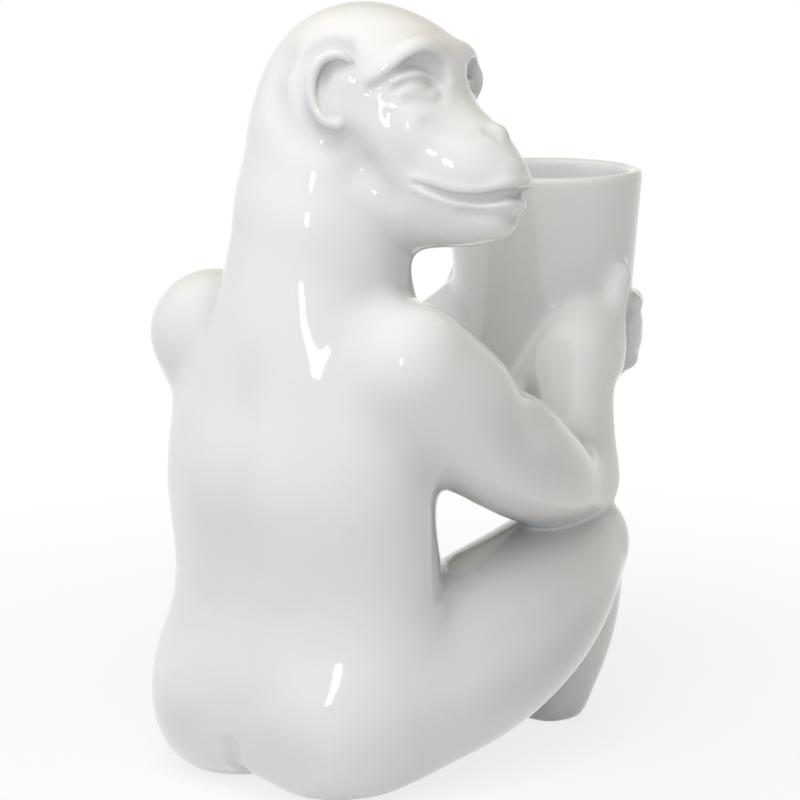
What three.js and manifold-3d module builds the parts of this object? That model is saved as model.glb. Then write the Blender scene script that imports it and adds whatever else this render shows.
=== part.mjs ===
// A glazed ceramic chimpanzee that sits with its knees up and holds a cup for a pillar candle.
// It is a slip-cast figure: separate castings joined at the neck, ears, shoulders, elbows, wrists,
// hips and knees, with felt pads under it. The large castings are hollow and open at their joints.
// Millimetres, +Z up. The figure faces -Y, so its right hand is at -X.

import * as THREE from 'three';
import { mergeVertices } from 'three/addons/utils/BufferGeometryUtils.js';
import Module from 'manifold-3d';

const wasm = await Module();
wasm.setup();

// Sizes shared by many pieces.
const jointGap = 0.3;
const castWall = 5;
const ventRadius = 3.5;
const padThickness = 1;
const padRadius = 9;
const padMargin = 3;
const groundSize = 600;

// The cup takes a pillar candle on its floor, and widens towards its rim.
// It is held in the hands, in front of the figure's middle.
const candleDiameter = 58;
const candleClearance = 0.5;
const cupWall = 6.5;
const cupFloor = 7;
const cupHeight = 94;
const cupTaper = 7;
const cupLip = 2.6;
const cupFootRound = 7;
const cupForward = 165;
const cupBottom = 136;

// The torso is a run of oval sections from the seat up to the base of the neck.
const seat = { height: 25, wide: 62, deep: 43, back: 3, dome: 0.66 };
const pelvis = { height: 46, wide: 64, deep: 43, back: 1 };
const waist = { height: 80, wide: 61, deep: 39.5, back: -1 };
const ribs = { height: 121, wide: 61, deep: 40.5, back: 2.5 };
const chest = { height: 158, wide: 60, deep: 37.5, back: -3 };
const shoulders = { height: 188, wide: 46, deep: 32, back: -8, dome: 0.5 };
const buttock = { aside: 25, back: 8, wide: 36, deep: 39, tall: 34.5, flat: 21.7 };

// The head is turned to the figure's right and tips a little to its left.
// Its forms are placed from the middle of the head.
const headTurn = 84;
const headRoll = 8;
const headMiddle = { back: -27.6, height: 264.4 };
const neckBase = { rise: -8, back: -7, wide: 39, deep: 37, dome: 0.4 };
const neckMiddle = { drop: 52, back: -11, wide: 35, deep: 35 };
const neckTop = { drop: 12, back: -20, wide: 34, deep: 34, dome: 0.6 };
const cranium = { forward: 9, up: 2, long: 45, wide: 36, tall: 42 };
const forehead = { forward: 26, up: 16, long: 21, wide: 31, tall: 21 };
const jaw = { forward: 29, up: -26, long: 36, wide: 27, tall: 25 };
const cheek = { forward: 34, up: -8, aside: 16, long: 20, wide: 14, tall: 19 };
const eye = { forward: 35.4, up: 9.8, aside: 15.4, long: 11, wide: 11, tall: 10.6 };
const eyeHollow = { forward: 46, up: 18, aside: 17.5, long: 6, wide: 11, tall: 7.5, turnOut: 25 };

// Rounded ridges of the face, each through its own run of places.
const muzzle = [
  { forward: 42, up: -14, radius: 25 },
  { forward: 55, up: -20.5, radius: 23 },
  { forward: 69.2, up: -23.5, radius: 14.8 },
];
const chin = [
  { forward: 44, up: -27, radius: 22.5 },
  { forward: 56, up: -30, radius: 19.3 },
  { forward: 68, up: -33, radius: 13.6 },
];
const noseBridge = [
  { forward: 42, up: 16, radius: 8 },
  { forward: 45, up: 4, radius: 8 },
  { forward: 56, up: -6, radius: 8.2 },
  { forward: 68, up: -6.6, radius: 6.2 },
];
const brow = [
  { forward: 42.5, up: 24, aside: 3, radius: 5.2 },
  { forward: 43, up: 25, aside: 13, radius: 5.4 },
  { forward: 40, up: 21, aside: 25, radius: 5 },
  { forward: 33, up: 12, aside: 29.5, radius: 3.6 },
];
const mouth = [
  { forward: 83, up: -27, aside: 0, radius: 2.6 },
  { forward: 77, up: -29, aside: 12, radius: 2 },
  { forward: 63, up: -29, aside: 18.5, radius: 1.6 },
  { forward: 49, up: -26, aside: 24.5, radius: 1.2 },
];
const ear = { forward: 14, up: 8, proud: -1, long: 9.5, thick: 5, tall: 14.5, turnOut: 12, bowl: 0.66 };

// Limbs are given for one side, as the places and radii of their joints.
const shoulder = { inset: 10, back: -6, rise: 11.5, radius: 26 };
const leftShoulderRise = 2.5;
const deltoid = { back: -26, height: 161, wide: 21, deep: 27, tall: 24 };
const upperArm = { aside: 60, back: -56, height: 130.5, radius: 25.6 };
const elbow = { inward: 1, back: -4, rise: 26, radius: 18.5 };
const forearm = { aside: 49.5, back: -121, height: 124, radius: 16.2 };
const wrist = { turn: -40, rise: 12, off: 16, radius: 15 };
const hip = { inset: 31, back: 0, height: 35.5, radius: 36 };
const thigh = { aside: 50, back: -62, height: 53, radius: 35.6 };
const knee = { aside: 52.5, back: -114, height: 79, radius: 23.5 };
const leftKneeSplay = 10;
const calf = { aside: 46, back: -124.5, height: 42, radius: 19 };
const heel = { aside: 39, back: -117, radius: 16.5 };
const toes = { length: 36, turnIn: 38, wide: 15, thick: 10 };
const boneInset = 2.5;

// The fingers lie round the cup's wall, one above the other, and the thumb points up.
const palm = { turn: -22, rise: 24, off: 3.5, long: 17, thick: 9, tall: 23 };
const finger = { count: 4, radius: 5.2, rootRadius: 7, off: 2.4, tipTurn: 60, spacing: 10, rise: 10 };
const thumb = { turn: -6, rise: 57, radius: 4.6, rootRadius: 8, off: 1.5 };

// Fineness of the surfaces.
const cupSides = 44;
const bodySides = 22;
const limbSides = 14;
const fingerSides = 8;
const fingerSteps = 2;
const ballSides = 14;
const ballRings = 8;
const roundSteps = 3;

const glaze = new THREE.MeshStandardMaterial({ color: 0xf2f2ef, roughness: 0.12, metalness: 0 });
const felt = new THREE.MeshStandardMaterial({ color: 0xd9d6cd, roughness: 0.95, metalness: 0 });

const radians = THREE.MathUtils.degToRad;
const upwards = new THREE.Vector3(0, 0, 1);
const sideways = new THREE.Vector3(1, 0, 0);
const backwards = new THREE.Vector3(0, 1, 0);

// A three.js geometry as a solid that can be joined and cut.
function solidOf(geometry) {
  geometry.deleteAttribute('normal');
  geometry.deleteAttribute('uv');
  const merged = mergeVertices(geometry);
  return new wasm.Manifold(new wasm.Mesh({
    numProp: 3,
    vertProperties: new Float32Array(merged.attributes.position.array),
    triVerts: new Uint32Array(merged.index.array),
  }));
}

function meshOf(name, solid, material) {
  const { vertProperties, triVerts } = solid.getMesh();
  const geometry = new THREE.BufferGeometry();
  geometry.setAttribute('position', new THREE.BufferAttribute(vertProperties, 3));
  geometry.setIndex(new THREE.BufferAttribute(triVerts, 1));
  geometry.computeVertexNormals();
  const mesh = new THREE.Mesh(geometry, material);
  mesh.name = name;
  return mesh;
}

const joined = (solids) => solids.reduce((whole, solid) => whole.add(solid));
const cutBy = (solid, ...tools) => tools.reduce((rest, tool) => rest.subtract(tool), solid);

// A closed skin through oval rings along a smooth path, with a dome on each end.
// swell grows every ring, to cut a neighbour with clearance or, below zero, to hollow the piece.
// start is the way that each ring's first point lies.
function sweep(stations, options = {}) {
  const { sides = limbSides, steps = roundSteps, swell = 0, domes = [1, 1], start = sideways } = options;
  const path = new THREE.CatmullRomCurve3(stations.map((s) => new THREE.Vector3(s.x, s.y, s.z)));
  const girth = new THREE.CatmullRomCurve3(stations.map((s) => new THREE.Vector3(s.wide, s.deep, 0)));
  const points = [];
  const addRing = (t, lift, shrink) => {
    const tangent = path.getTangent(t);
    const across = start.clone().addScaledVector(tangent, -start.dot(tangent)).normalize();
    const along = new THREE.Vector3().crossVectors(tangent, across);
    const { x: wide, y: deep } = girth.getPoint(t).addScalar(swell);
    const centre = path.getPoint(t).addScaledVector(tangent, lift * Math.min(wide, deep));
    const count = shrink > 0 ? sides : 1;
    for (let i = 0; i < count; i += 1) {
      const angle = (2 * Math.PI * i) / sides;
      const point = centre.clone();
      point.addScaledVector(across, Math.cos(angle) * wide * shrink);
      point.addScaledVector(along, Math.sin(angle) * deep * shrink);
      points.push(point);
    }
  };
  const rings = (stations.length - 1) * steps;
  addRing(0, -domes[0], 0);
  for (let i = steps - 1; i > 0; i -= 1) {
    const angle = (Math.PI / 2) * (i / steps);
    addRing(0, -Math.sin(angle) * domes[0], Math.cos(angle));
  }
  for (let i = 0; i <= rings; i += 1) {
    addRing(i / rings, 0, 1);
  }
  for (let i = 1; i < steps; i += 1) {
    const angle = (Math.PI / 2) * (i / steps);
    addRing(1, Math.sin(angle) * domes[1], Math.cos(angle));
  }
  addRing(1, domes[1], 0);

  const index = [];
  const lastPole = points.length - 1;
  const lastRing = lastPole - sides;
  for (let i = 0; i < sides; i += 1) {
    const next = (i + 1) % sides;
    index.push(0, 1 + next, 1 + i);
    for (let low = 1; low < lastRing; low += sides) {
      const high = low + sides;
      index.push(low + i, low + next, high + next, low + i, high + next, high + i);
    }
    index.push(lastRing + i, lastRing + next, lastPole);
  }
  const geometry = new THREE.BufferGeometry().setFromPoints(points);
  geometry.setIndex(index);
  return solidOf(geometry);
}

// An ellipsoid with its own turn, from its radii along x, y and z.
function ball(place, radii, { swell = 0, turn = 0 } = {}) {
  const geometry = new THREE.SphereGeometry(1, ballSides, ballRings);
  geometry.rotateX(Math.PI / 2);
  geometry.scale(radii.x + swell, radii.y + swell, radii.z + swell);
  geometry.rotateZ(radians(turn));
  geometry.translate(place.x, place.y, place.z);
  return solidOf(geometry);
}

// A round rod between two points, for the holes that let air out of the hollow castings.
function rod(from, to) {
  const span = new THREE.Vector3().subVectors(to, from);
  const geometry = new THREE.CylinderGeometry(ventRadius, ventRadius, span.length(), fingerSides);
  const spin = new THREE.Quaternion().setFromUnitVectors(new THREE.Vector3(0, 1, 0), span.normalize());
  geometry.applyQuaternion(spin);
  const middle = new THREE.Vector3().addVectors(from, to).multiplyScalar(0.5);
  geometry.translate(middle.x, middle.y, middle.z);
  return solidOf(geometry);
}

// Everything below one level, to grind a piece flat or to leave a floor under a hollow.
function below(height) {
  const block = new THREE.BoxGeometry(groundSize, groundSize, groundSize);
  return solidOf(block.translate(0, 0, height - groundSize / 2));
}

// A joint's place on one side of the figure: side is -1 for its right and 1 for its left.
const pointAt = (joint, side) => new THREE.Vector3(side * joint.aside, joint.back, joint.height);
const station = (joint, side, inset = 0) => ({
  ...pointAt(joint, side),
  wide: joint.radius - inset,
  deep: joint.radius - inset,
});
const level = ({ back, height, wide, deep }) => ({ x: 0, y: back, z: height, wide, deep });

// Torso, with two buttocks that rest on flat ground faces.
function torsoShape(swell = 0, sides = bodySides) {
  const trunk = sweep([seat, pelvis, waist, ribs, chest, shoulders].map(level), {
    sides,
    swell,
    domes: [seat.dome, shoulders.dome],
  });
  const sitHeight = padThickness + buttock.tall * Math.sqrt(1 - (buttock.flat / buttock.wide) ** 2);
  const halves = [-1, 1].map((side) => ball(
    new THREE.Vector3(side * buttock.aside, buttock.back, sitHeight),
    new THREE.Vector3(buttock.wide, buttock.deep, buttock.tall),
    { swell },
  ));
  return joined([trunk, ...halves]);
}

// Head and neck, placed in the head's own rolled and turned frame.
const headPoint = new THREE.Vector3(0, headMiddle.back, headMiddle.height);
const headWay = (way) => {
  const rolled = way.clone().applyAxisAngle(backwards, radians(headRoll));
  return rolled.applyAxisAngle(upwards, -radians(headTurn));
};

function onHead({ forward, up }, aside) {
  return headWay(new THREE.Vector3(aside, -forward, up)).add(headPoint);
}

function headForm(form, side, swell) {
  const radii = new THREE.Vector3(form.wide, form.long, form.tall);
  const turn = side * (form.turnOut ?? 0) - headTurn;
  return ball(onHead(form, side * (form.aside ?? 0)), radii, { swell, turn });
}

function headRidge(run, side, swell, start) {
  const stations = run.map((place) => ({
    ...onHead(place, side * (place.aside ?? 0)),
    wide: place.radius,
    deep: place.radius,
  }));
  return sweep(stations, { swell, start: headWay(start) });
}

function neckShape(swell) {
  const run = [
    { ...neckBase, height: shoulders.height + neckBase.rise },
    { ...neckMiddle, height: headMiddle.height - neckMiddle.drop },
    { ...neckTop, height: headMiddle.height - neckTop.drop },
  ];
  return sweep(run.map(level), { sides: bodySides, swell, domes: [neckBase.dome, neckTop.dome] });
}

// The eyes lie in hollows under the brows, and the mouth is a groove round the muzzle.
function headShape(swell = 0) {
  const bothSides = (make) => [-1, 1].map(make);
  const forms = [cranium, forehead, jaw].map((form) => headForm(form, 0, swell));
  const ridges = [muzzle, chin, noseBridge].map((run) => headRidge(run, 0, swell, sideways));
  const cheeks = bothSides((side) => headForm(cheek, side, swell));
  const brows = bothSides((side) => headRidge(brow, side, swell, backwards));
  const hollows = bothSides((side) => headForm(eyeHollow, side, -swell));
  const eyes = bothSides((side) => headForm(eye, side, swell));
  const lips = bothSides((side) => headRidge(mouth, side, -swell, upwards));
  const skull = joined([neckShape(swell), ...forms, ...ridges, ...cheeks, ...brows]);
  return cutBy(joined([cutBy(skull, ...hollows), ...eyes]), ...lips);
}

function earShape(side) {
  const aside = side * (cranium.wide + ear.proud);
  const turn = side * ear.turnOut - headTurn;
  const radii = new THREE.Vector3(ear.thick, ear.long, ear.tall);
  const bowl = new THREE.Vector3(ear.thick, ear.long * ear.bowl, ear.tall * ear.bowl);
  const shell = ball(onHead(ear, aside), radii, { turn });
  return shell.subtract(ball(onHead(ear, aside + side * ear.thick), bowl, { turn }));
}

// Legs. The heel stands on a flat face a little wider than its pad.
const kneeOf = (side) => ({ ...knee, aside: knee.aside + (side > 0 ? leftKneeSplay : 0) });
const hipJoint = { ...hip, aside: Math.max(seat.wide, pelvis.wide) - hip.inset };
const heelJoint = {
  ...heel,
  height: padThickness + Math.sqrt(heel.radius ** 2 - (padRadius + padMargin) ** 2),
};

function thighShape(side, swell = 0) {
  return sweep([hipJoint, thigh, kneeOf(side)].map((joint) => station(joint, side)), { swell });
}

function shankShape(side, swell = 0) {
  const run = [station(kneeOf(side), side, boneInset), station(calf, side), station(heelJoint, side)];
  return sweep(run, { swell });
}

function footShape(side) {
  const heelPoint = pointAt(heelJoint, side);
  const ahead = new THREE.Vector3(0, -toes.length, 0).applyAxisAngle(upwards, -side * radians(toes.turnIn));
  const toePoint = heelPoint.clone().add(ahead);
  toePoint.z = padThickness + toes.thick / 2;
  return sweep([
    { ...heelPoint, wide: heel.radius - boneInset, deep: heel.radius - boneInset },
    { ...toePoint, wide: toes.wide, deep: toes.thick },
  ]);
}

// Cup, as one closed profile turned about its axis.
const cupInside = candleDiameter / 2 + candleClearance;
const cupFoot = cupInside + cupWall;
const cupRim = cupFoot + cupTaper;
const cupAxis = new THREE.Vector3(0, -cupForward, cupBottom);

function quarterRound(centreX, centreY, radius, start) {
  const curve = new THREE.EllipseCurve(centreX, centreY, radius, radius, start, start + Math.PI / 2);
  return curve.getPoints(roundSteps);
}

function cupShape() {
  const profile = [
    new THREE.Vector2(0, 0),
    ...quarterRound(cupFoot - cupFootRound, cupFootRound, cupFootRound, -Math.PI / 2),
    ...quarterRound(cupRim - cupLip, cupHeight - cupLip, cupLip, 0),
    ...quarterRound(cupRim - cupWall + cupLip, cupHeight - cupLip, cupLip, Math.PI / 2),
    new THREE.Vector2(cupInside, cupFloor),
    new THREE.Vector2(0, cupFloor),
  ];
  const geometry = new THREE.LatheGeometry(profile, cupSides);
  geometry.rotateX(Math.PI / 2);
  geometry.translate(cupAxis.x, cupAxis.y, cupAxis.z);
  return solidOf(geometry);
}

// The cup's outside grown by the joint gap, to seat the hands on.
function cupSeat() {
  const tall = cupHeight + 2 * jointGap;
  const geometry = new THREE.CylinderGeometry(cupRim + jointGap, cupFoot + jointGap, tall, cupSides);
  geometry.rotateX(Math.PI / 2);
  geometry.translate(cupAxis.x, cupAxis.y, cupAxis.z + cupHeight / 2);
  return solidOf(geometry);
}

// A place by the cup's wall: turn goes from the figure's side towards its front, rise from the cup's foot.
function byCup(side, turn, rise, off) {
  const radius = cupFoot + cupTaper * (rise / cupHeight) + off;
  const place = new THREE.Vector3(side * Math.cos(radians(turn)), -Math.sin(radians(turn)), 0);
  return place.multiplyScalar(radius).add(cupAxis).add(new THREE.Vector3(0, 0, rise));
}

// Arms. The elbow rests on the knee, and the wrist is below the palm.
const shoulderOf = (side) => ({
  ...shoulder,
  aside: chest.wide - shoulder.inset,
  height: chest.height + shoulder.rise + (side > 0 ? leftShoulderRise : 0),
});
const elbowOf = (side) => {
  const under = kneeOf(side);
  return {
    aside: under.aside - elbow.inward,
    back: under.back + elbow.back,
    height: under.height + elbow.rise,
    radius: elbow.radius,
  };
};
const wristStation = (side) => ({
  ...byCup(side, wrist.turn, wrist.rise, wrist.off),
  wide: wrist.radius,
  deep: wrist.radius,
});

function upperArmShape(side, swell = 0) {
  const run = [shoulderOf(side), upperArm, elbowOf(side)].map((joint) => station(joint, side));
  const muscleSize = new THREE.Vector3(deltoid.wide, deltoid.deep, deltoid.tall);
  const muscle = ball(pointAt({ ...deltoid, aside: upperArm.aside }, side), muscleSize, { swell });
  return sweep(run, { swell }).add(muscle);
}

function forearmShape(side, swell = 0) {
  const run = [station(elbowOf(side), side, boneInset), station(forearm, side), wristStation(side)];
  return sweep(run, { swell });
}

function handShape(side) {
  const heart = ball(
    byCup(side, palm.turn, palm.rise, palm.off),
    new THREE.Vector3(palm.thick, palm.long, palm.tall),
    { turn: -side * palm.turn },
  );
  const fingers = Array.from({ length: finger.count }, (_, i) => {
    const rise = finger.rise + i * finger.spacing;
    const run = [palm.turn, (palm.turn + finger.tipTurn) / 2, finger.tipTurn].map((turn, step) => {
      const radius = THREE.MathUtils.lerp(finger.rootRadius, finger.radius, step / 2);
      return { ...byCup(side, turn, rise, finger.off), wide: radius, deep: radius };
    });
    return sweep(run, { sides: fingerSides, steps: fingerSteps });
  });
  const thumbRun = [
    { ...byCup(side, palm.turn, palm.rise, palm.off), wide: thumb.rootRadius, deep: thumb.rootRadius },
    { ...byCup(side, thumb.turn, thumb.rise, thumb.off), wide: thumb.radius, deep: thumb.radius },
  ];
  return joined([heart, ...fingers, sweep(thumbRun, { sides: fingerSides })]);
}

function padAt(name, place) {
  const geometry = new THREE.CylinderGeometry(padRadius, padRadius, padThickness, limbSides);
  geometry.rotateX(Math.PI / 2);
  geometry.translate(place.x, place.y, padThickness / 2);
  return meshOf(name, solidOf(geometry), felt);
}

// The hollow castings and the holes between them.
const chestPoint = new THREE.Vector3(0, chest.back, chest.height);
const pelvisPoint = new THREE.Vector3(0, pelvis.back, pelvis.height);
const torsoCut = torsoShape(jointGap);
const headCut = headShape(jointGap);
const neckCut = neckShape(jointGap);
const cupCut = cupSeat();
const torsoVents = [
  rod(pelvisPoint, new THREE.Vector3(0, seat.back, -padThickness)),
  rod(chestPoint, headPoint),
  ...[-1, 1].map((side) => rod(chestPoint, pointAt(upperArm, side))),
  ...[-1, 1].map((side) => rod(pelvisPoint, pointAt(thigh, side))),
];
const ground = below(padThickness);
const floor = below(padThickness + castWall);
const torsoHollow = torsoShape(-castWall, limbSides).subtract(floor);
const skullHollow = [cranium, jaw].map((form) => headForm(form, 0, -castWall));
const headHollow = joined([neckShape(-castWall), ...skullHollow]);

const figure = new THREE.Group();
figure.add(meshOf('torso', cutBy(torsoShape(), torsoHollow, ...torsoVents, ground), glaze));
figure.add(meshOf('head', cutBy(headShape(), headHollow, torsoCut), glaze));
figure.add(meshOf('cup', cupShape(), glaze));

for (const [label, side] of [['right', -1], ['left', 1]]) {
  const thighCut = thighShape(side, jointGap);
  const upperArmCut = upperArmShape(side, jointGap);
  const forearmCut = forearmShape(side, jointGap);
  const legHollow = shankShape(side, -castWall).subtract(floor);
  const lowerLeg = joined([shankShape(side), footShape(side)]).subtract(legHollow);
  const castings = {
    ear: cutBy(earShape(side), headCut),
    thigh: cutBy(thighShape(side), thighShape(side, -castWall), torsoCut, ground),
    lower_leg: cutBy(lowerLeg, thighCut, torsoCut, ground),
    upper_arm: cutBy(upperArmShape(side), upperArmShape(side, -castWall), torsoCut, neckCut, thighCut),
    forearm: cutBy(forearmShape(side), upperArmCut, thighCut, cupCut),
    hand: cutBy(handShape(side), cupCut, forearmCut, upperArmCut),
  };
  for (const [piece, solid] of Object.entries(castings)) {
    figure.add(meshOf(`${label}_${piece}`, solid, glaze));
  }
  figure.add(padAt(`${label}_seat_pad`, new THREE.Vector3(side * buttock.aside, buttock.back, 0)));
  figure.add(padAt(`${label}_foot_pad`, pointAt(heelJoint, side)));
}

// The origin is under the middle of the whole figure.
const middle = new THREE.Box3().setFromObject(figure).getCenter(new THREE.Vector3());
figure.position.set(-middle.x, -middle.y, 0);

export default figure;
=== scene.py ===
import math

import bpy
import numpy as np
import openvdb
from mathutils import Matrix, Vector


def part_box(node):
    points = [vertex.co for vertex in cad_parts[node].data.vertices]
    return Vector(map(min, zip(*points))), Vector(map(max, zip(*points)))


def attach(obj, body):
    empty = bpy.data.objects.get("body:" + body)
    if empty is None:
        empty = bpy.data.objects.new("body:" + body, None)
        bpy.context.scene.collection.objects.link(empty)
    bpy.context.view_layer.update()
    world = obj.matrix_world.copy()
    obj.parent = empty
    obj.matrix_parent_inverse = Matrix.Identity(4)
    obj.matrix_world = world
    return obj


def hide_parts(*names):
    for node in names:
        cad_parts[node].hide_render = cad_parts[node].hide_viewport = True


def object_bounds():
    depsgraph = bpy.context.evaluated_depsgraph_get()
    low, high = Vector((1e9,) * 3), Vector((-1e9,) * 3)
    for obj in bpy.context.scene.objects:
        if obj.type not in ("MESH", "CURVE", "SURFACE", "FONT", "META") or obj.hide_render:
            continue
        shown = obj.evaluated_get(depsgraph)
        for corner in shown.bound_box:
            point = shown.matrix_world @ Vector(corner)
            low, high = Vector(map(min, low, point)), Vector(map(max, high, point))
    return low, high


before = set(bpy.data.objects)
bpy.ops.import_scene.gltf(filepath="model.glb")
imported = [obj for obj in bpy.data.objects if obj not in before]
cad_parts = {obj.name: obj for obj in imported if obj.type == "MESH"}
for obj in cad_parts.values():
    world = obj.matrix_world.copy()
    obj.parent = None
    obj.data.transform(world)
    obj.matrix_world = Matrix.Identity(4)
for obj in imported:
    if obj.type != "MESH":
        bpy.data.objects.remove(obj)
cadLow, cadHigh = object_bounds()
mm = 0.001
print("frame loaded")

# The figure is modelled as clay: distance fields on one grid, in millimetres, with the figure
# facing -Y. The cup's axis ties that frame to the CAD's.
cupSize = {
    "forward": 165.0,
    "bottom": 136.0,
    "height": 94.0,
    "foot": 36.0,
    "rim": 43.0,
    "wall": 6.5,
    "floor": 7.0,
    "footRound": 11.0,
    "floorRound": 8.0,
    "lip": 4.6,
}
cupLow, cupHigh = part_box("cup")
cupMiddle = (cupLow + cupHigh) / 2
shift = np.array([cupMiddle.x / mm, cupMiddle.y / mm + cupSize["forward"], 0.0])

claySize = {
    "voxel": 0.88,
    "quickVoxel": 1.8,
    "margin": 5.0,
    "far": 60.0,
    "firstBlend": 1.0,
    "reach": 34.0,      # how far from its surface a main form is worked out
    "band": 3.0,        # voxels
    "soften": 1,        # rounds of blur, as glaze rounds every crease
    "snap": 2,          # steps that pull the skin onto the clay's surface
    "capRings": (0.95, 0.85, 0.75, 0.6, 0.45, 0.3, 0.15),
    "capSink": 0.3,     # how far a hidden end dips under its neighbour, as a share of its width
    "ground": 1.0,      # the felt pads are below this
    "groundRound": 3.0,
    "skinSlope": 0.1,   # least slopes, squared, for steps onto a surface
    "snapSlope": 0.05,
    "carvePad": 2.0,    # voxels
    "creaseReach": 3.0,     # widths
    "hollowHem": 2.0,   # voxels round the cup's hollow whose skin is the cup's own
    "edgeReach": 2.2,   # mm over which the skin's bend is felt
    "poolShadeReach": (5.0, 14.0),     # mm out from the skin where hollows are felt, for the painted shade in hollows
    "islandRounds": 4,
}
bendSearch = {"places": 13, "steps": 4, "leastBend": 1e-3}
tiny = 1e-6
voxel = claySize["voxel"]
gridLow = np.array(cadLow) / mm - shift - claySize["margin"]
gridHigh = np.array(cadHigh) / mm - shift + claySize["margin"]
gridShape = np.ceil((gridHigh - gridLow) / voxel).astype(int) + 1


def softMin(a, b, k):
    h = np.maximum(k - np.abs(a - b), 0) / k
    return np.minimum(a, b) - h * h * h * k / 6


def softMax(a, b, k):
    return -softMin(-a, -b, k)


def cells(low, high):
    first = np.floor((np.asarray(low) - gridLow) / voxel).astype(int)
    last = np.ceil((np.asarray(high) - gridLow) / voxel).astype(int) + 1
    return np.clip(first, 0, gridShape), np.clip(last, 0, gridShape)


def coordinates(first, last):
    axes = [gridLow[i] + voxel * np.arange(first[i], last[i]) for i in range(3)]
    return np.meshgrid(*[axis.astype(np.float32) for axis in axes], indexing="ij", sparse=True)


def sample(field, at):
    base = np.clip(np.floor(at).astype(int), 0, np.array(field.shape) - 2)
    part = np.clip(at - base, 0, 1)
    total = 0
    for dx in (0, 1):
        for dy in (0, 1):
            for dz in (0, 1):
                weight = np.abs(1 - np.array([dx, dy, dz]) - part).prod(1)
                total = total + weight * field[base[:, 0] + dx, base[:, 1] + dy, base[:, 2] + dz]
    return total


def slopes(field, at, step=1.0):
    out = [sample(field, at + move) - sample(field, at - move) for move in np.eye(3) * step]
    return np.stack(out, 1) / (2 * step)


def toSurface(field, at, leastSlope):       # one step from points near a field's surface onto it
    slope = slopes(field, at)
    return at - slope * (sample(field, at) / np.maximum((slope ** 2).sum(1), leastSlope))[:, None]


# One piece's clay, kept only in its own window of the grid.
class Clay:
    def __init__(self, *shapes):
        low = np.min([shape[0] for shape in shapes], axis=0) - claySize["reach"]
        high = np.max([shape[1] for shape in shapes], axis=0) + claySize["reach"]
        self.first, self.last = cells(low, high)
        self.dist = np.full(self.last - self.first, claySize["far"], np.float32)

    def window(self):
        return tuple(slice(a, b) for a, b in zip(self.first, self.last))

    def part(self, low, high, pad):
        first, last = cells(np.asarray(low) - pad, np.asarray(high) + pad)
        first = np.clip(first, self.first, self.last)
        last = np.clip(last, first, self.last)
        inside = tuple(slice(a - o, b - o) for a, b, o in zip(first, last, self.first))
        return inside, coordinates(first, last)

    def add(self, shape, blend, reach=None):
        low, high, distance = shape
        pad = max(blend, claySize["reach"] if reach is None else reach)
        inside, (x, y, z) = self.part(low, high, pad)
        self.dist[inside] = softMin(self.dist[inside], distance(x, y, z), blend)

    def carve(self, shape, blend):
        low, high, distance = shape
        inside, (x, y, z) = self.part(low, high, blend + claySize["carvePad"] * voxel)
        self.dist[inside] = softMax(self.dist[inside], -distance(x, y, z), blend)

    def onSkin(self, points, steps=6):      # moves points onto the clay's surface
        spots = (np.array(points) - gridLow) / voxel - self.first
        for turn in range(steps):
            spots = toSurface(self.dist, spots, claySize["skinSlope"])
        return (spots + self.first) * voxel + gridLow

    def crease(self, points, line):     # a soft valley, or a ridge where the depth is below zero
        low, high, distance = bead(self.onSkin(points), [0.0] * len(points))
        inside, (x, y, z) = self.part(low, high, claySize["creaseReach"] * line["width"])
        self.dist[inside] += line["depth"] * np.exp(-(distance(x, y, z) / line["width"]) ** 2)


def clayOf(shape, *others, reach=None):      # starts a piece with its main shape, with room for others
    clay = Clay(shape, *others)
    clay.add(shape, claySize["firstBlend"], reach)
    return clay


def ball(place, radii, turn=0.0):
    place = np.asarray(place, float)
    cos = math.cos(math.radians(turn))
    sin = math.sin(math.radians(turn))
    flat = max(radii[0], radii[1])
    spread = np.array([flat, flat, radii[2]])

    def distance(x, y, z):
        ax = x - place[0]
        ay = y - place[1]
        u = (ax * cos + ay * sin) / radii[0]
        v = (ay * cos - ax * sin) / radii[1]
        w = (z - place[2]) / radii[2]
        inner = np.sqrt(u * u + v * v + w * w)
        slope = np.sqrt((u / radii[0]) ** 2 + (v / radii[1]) ** 2 + (w / radii[2]) ** 2)
        return inner * (inner - 1) / np.maximum(slope, tiny)
    return place - spread, place + spread, distance


def smoothRun(values, steps):       # Catmull-Rom through rows of values
    rows = np.asarray(values, float)
    ends = np.vstack([2 * rows[0] - rows[1], rows, 2 * rows[-1] - rows[-2]])
    out = []
    for a, b, c, d in zip(ends[:-3], ends[1:-2], ends[2:-1], ends[3:]):
        for t in np.arange(steps) / steps:
            bend = a - 2.5 * b + 2 * c - d / 2
            twist = 1.5 * b - 1.5 * c + (d - a) / 2
            out.append(b + t * (c - a) / 2 + t * t * bend + t ** 3 * twist)
    out.append(rows[-1])
    return np.array(out)


def bead(points, radii, steps=5):       # a round rope through points, with its own radius at each
    run = smoothRun([(*p, r) for p, r in zip(points, radii)], steps if len(points) > 2 else 1)
    biggest = run[:, 3].max()

    def distance(x, y, z):
        best = None
        for a, b in zip(run[:-1], run[1:]):
            d = (b - a)[:3]
            along = ((x - a[0]) * d[0] + (y - a[1]) * d[1] + (z - a[2]) * d[2]) / max(d @ d, tiny)
            along = np.clip(along, 0, 1)
            gap = np.sqrt((x - a[0] - d[0] * along) ** 2 + (y - a[1] - d[1] * along) ** 2
                          + (z - a[2] - d[2] * along) ** 2)
            gap = gap - (a[3] + (b[3] - a[3]) * along)
            best = gap if best is None else np.minimum(best, gap)
        return best
    return run[:, :3].min(0) - biggest, run[:, :3].max(0) + biggest, distance


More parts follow.
